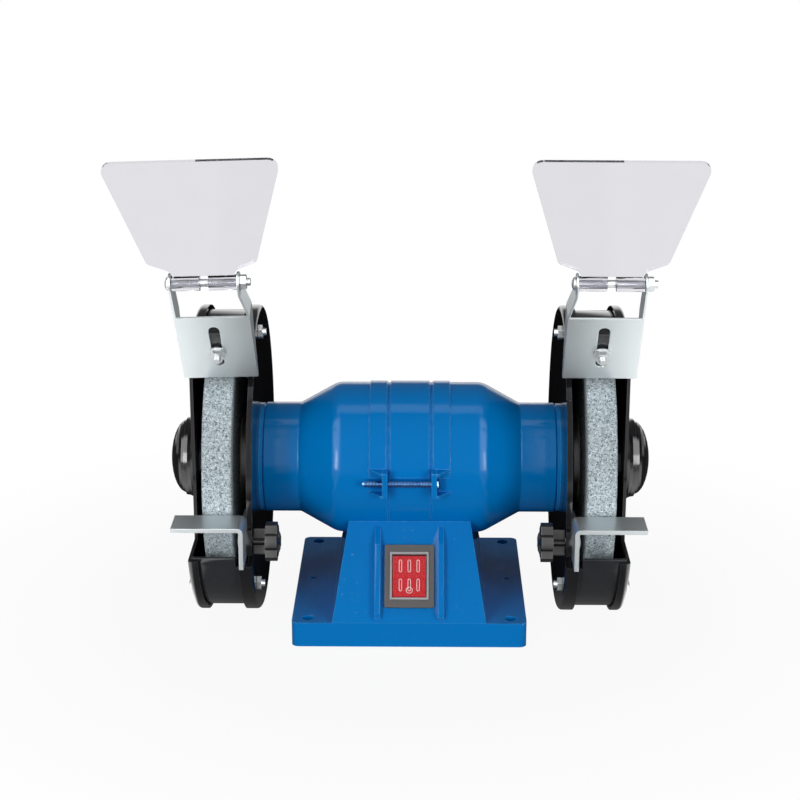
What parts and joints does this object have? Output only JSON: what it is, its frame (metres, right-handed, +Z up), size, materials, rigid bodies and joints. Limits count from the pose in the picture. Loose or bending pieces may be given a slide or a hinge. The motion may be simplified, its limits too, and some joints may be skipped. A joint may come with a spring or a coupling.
{
  "type": "bench grinder",
  "caption": "Bench grinder with an abrasive wheel on each side of a barrel motor, wheel guards, tool rests, clear eye shields and a rocker switch in its sloping pedestal.",
  "frame": {"origin": "centre of the base's underside, on the bench", "axes": "+X along the shaft to the operator's right, -Y towards the operator, +Z up"},
  "size_m": [0.2997, 0.1955, 0.28],
  "materials": {
    "blue_paint": "gloss enamel over a cast surface",
    "black_paint": "gloss black enamel",
    "zinc_sheet": "bright zinc plate on sheet steel",
    "zinc_screw": "bright zinc plate",
    "turned_steel": "turned, lightly oiled",
    "bearing_steel": "ground and polished",
    "copper_wire": "varnished winding wire",
    "abrasive": "open grained vitrified grit",
    "blotter": "plain card",
    "black_plastic": "moulded",
    "switch_plastic": "moulded",
    "red_plastic": "moulded, slightly translucent",
    "clear_plastic": "clear sheet",
    "clear_moulding": "clear moulding",
    "contact_brass": "plain",
    "can_aluminium": "drawn"
  },
  "bodies": {
    "root": {"base_casting": "blue_paint", "bottom_cover": "zinc_sheet", "bottom_cover_screws": "zinc_screw", "cable_gland": "black_plastic", "capacitor": "can_aluminium", "capacitor_clamp": "zinc_sheet", "capacitor_clamp_screw": "zinc_screw", "switch_housing": "switch_plastic", "switch_frame": "clear_moulding", "switch_terminals": "contact_brass", "stator_shell": "blue_paint", "end_bell_left": "blue_paint", "end_bell_right": "blue_paint", "tie_screws": "zinc_screw", "saddle_screws": "zinc_screw", "stator_core": "turned_steel", "windings": "copper_wire", "bearing_outer_races": "bearing_steel", "preload_washer": "turned_steel", "bearing_balls": "bearing_steel", "guard_back_left": "black_paint", "guard_back_right": "black_paint", "guard_mount_screws": "zinc_screw", "guard_band_left": "black_paint", "guard_band_right": "black_paint", "side_cover_left": "black_paint", "side_cover_right": "black_paint", "guard_screws": "zinc_screw", "guard_nuts": "zinc_screw", "bracket_screws": "zinc_screw", "bracket_nuts": "zinc_screw"},
    "rotor": {"bearing_inner_races": "bearing_steel", "shaft": "turned_steel", "rotor_core": "turned_steel", "inner_flanges": "turned_steel", "wheel_left": "abrasive", "wheel_right": "abrasive", "wheel_washers": "blotter", "outer_flanges": "turned_steel", "spindle_nuts": "zinc_screw"},
    "rocker": {"switch_rocker": "red_plastic"},
    "bracket_left": {"shield_bracket_left": "zinc_sheet", "hinge_screw_left": "zinc_screw"},
    "shield_left": {"eye_shield_left": "clear_plastic"},
    "rest_tilt_left": {"rest_bolt_left": "zinc_screw"},
    "rest_left": {"tool_rest_left": "zinc_sheet"},
    "knob_left": {"rest_knob_left": "black_plastic"},
    "bracket_right": {"shield_bracket_right": "zinc_sheet", "hinge_screw_right": "zinc_screw"},
    "shield_right": {"eye_shield_right": "clear_plastic"},
    "rest_tilt_right": {"rest_bolt_right": "zinc_screw"},
    "rest_right": {"tool_rest_right": "zinc_sheet"},
    "knob_right": {"rest_knob_right": "black_plastic"}
  },
  "joints": [
    {"name": "rotor_spin", "type": "hinge", "parent": "root", "child": "rotor", "pos_m": [0, 0, 0.089], "axis": [1, 0, 0], "continuous": true},
    {"name": "rocker_tilt", "type": "hinge", "parent": "root", "child": "rocker", "pos_m": [0, -0.04974, 0.03528], "axis": [1, 0, 0], "range_deg": [-10, 0]},
    {"name": "bracket_slide_left", "type": "slide", "parent": "root", "child": "bracket_left", "axis": [-0.0384, -0.4996, 0.8654], "range_m": [-0.0025, 0.0065]},
    {"name": "shield_hinge_left", "type": "hinge", "parent": "bracket_left", "child": "shield_left", "pos_m": [-0.10535, -0.07963, 0.21029], "axis": [0.9993, -0.0192, 0.0332], "range_deg": [-60, 65]},
    {"name": "rest_tilt_left", "type": "hinge", "parent": "root", "child": "rest_tilt_left", "pos_m": [-0.0885, -0.07297, 0.0655], "axis": [1, 0, 0], "range_deg": [-4, 4]},
    {"name": "rest_slide_left", "type": "slide", "parent": "rest_tilt_left", "child": "rest_left", "axis": [0, -1, 0], "range_m": [-0.001, 0.008]},
    {"name": "knob_turn_left", "type": "hinge", "parent": "rest_tilt_left", "child": "knob_left", "pos_m": [-0.0775, -0.07297, 0.0655], "axis": [1, 0, 0], "continuous": true},
    {"name": "bracket_slide_right", "type": "slide", "parent": "root", "child": "bracket_right", "axis": [0.0052, -0.5, 0.866], "range_m": [-0.0025, 0.0065]},
    {"name": "shield_hinge_right", "type": "hinge", "parent": "bracket_right", "child": "shield_right", "pos_m": [0.10379, -0.07968, 0.21036], "axis": [1, 0.0026, -0.0045], "range_deg": [-60, 65]},
    {"name": "rest_tilt_right", "type": "hinge", "parent": "root", "child": "rest_tilt_right", "pos_m": [0.0885, -0.07297, 0.0655], "axis": [1, 0, 0], "range_deg": [-4, 4]},
    {"name": "rest_slide_right", "type": "slide", "parent": "rest_tilt_right", "child": "rest_right", "axis": [0, -1, 0], "range_m": [-0.001, 0.008]},
    {"name": "knob_turn_right", "type": "hinge", "parent": "rest_tilt_right", "child": "knob_right", "pos_m": [0.0775, -0.07297, 0.0655], "axis": [1, 0, 0], "continuous": true}
  ]
}
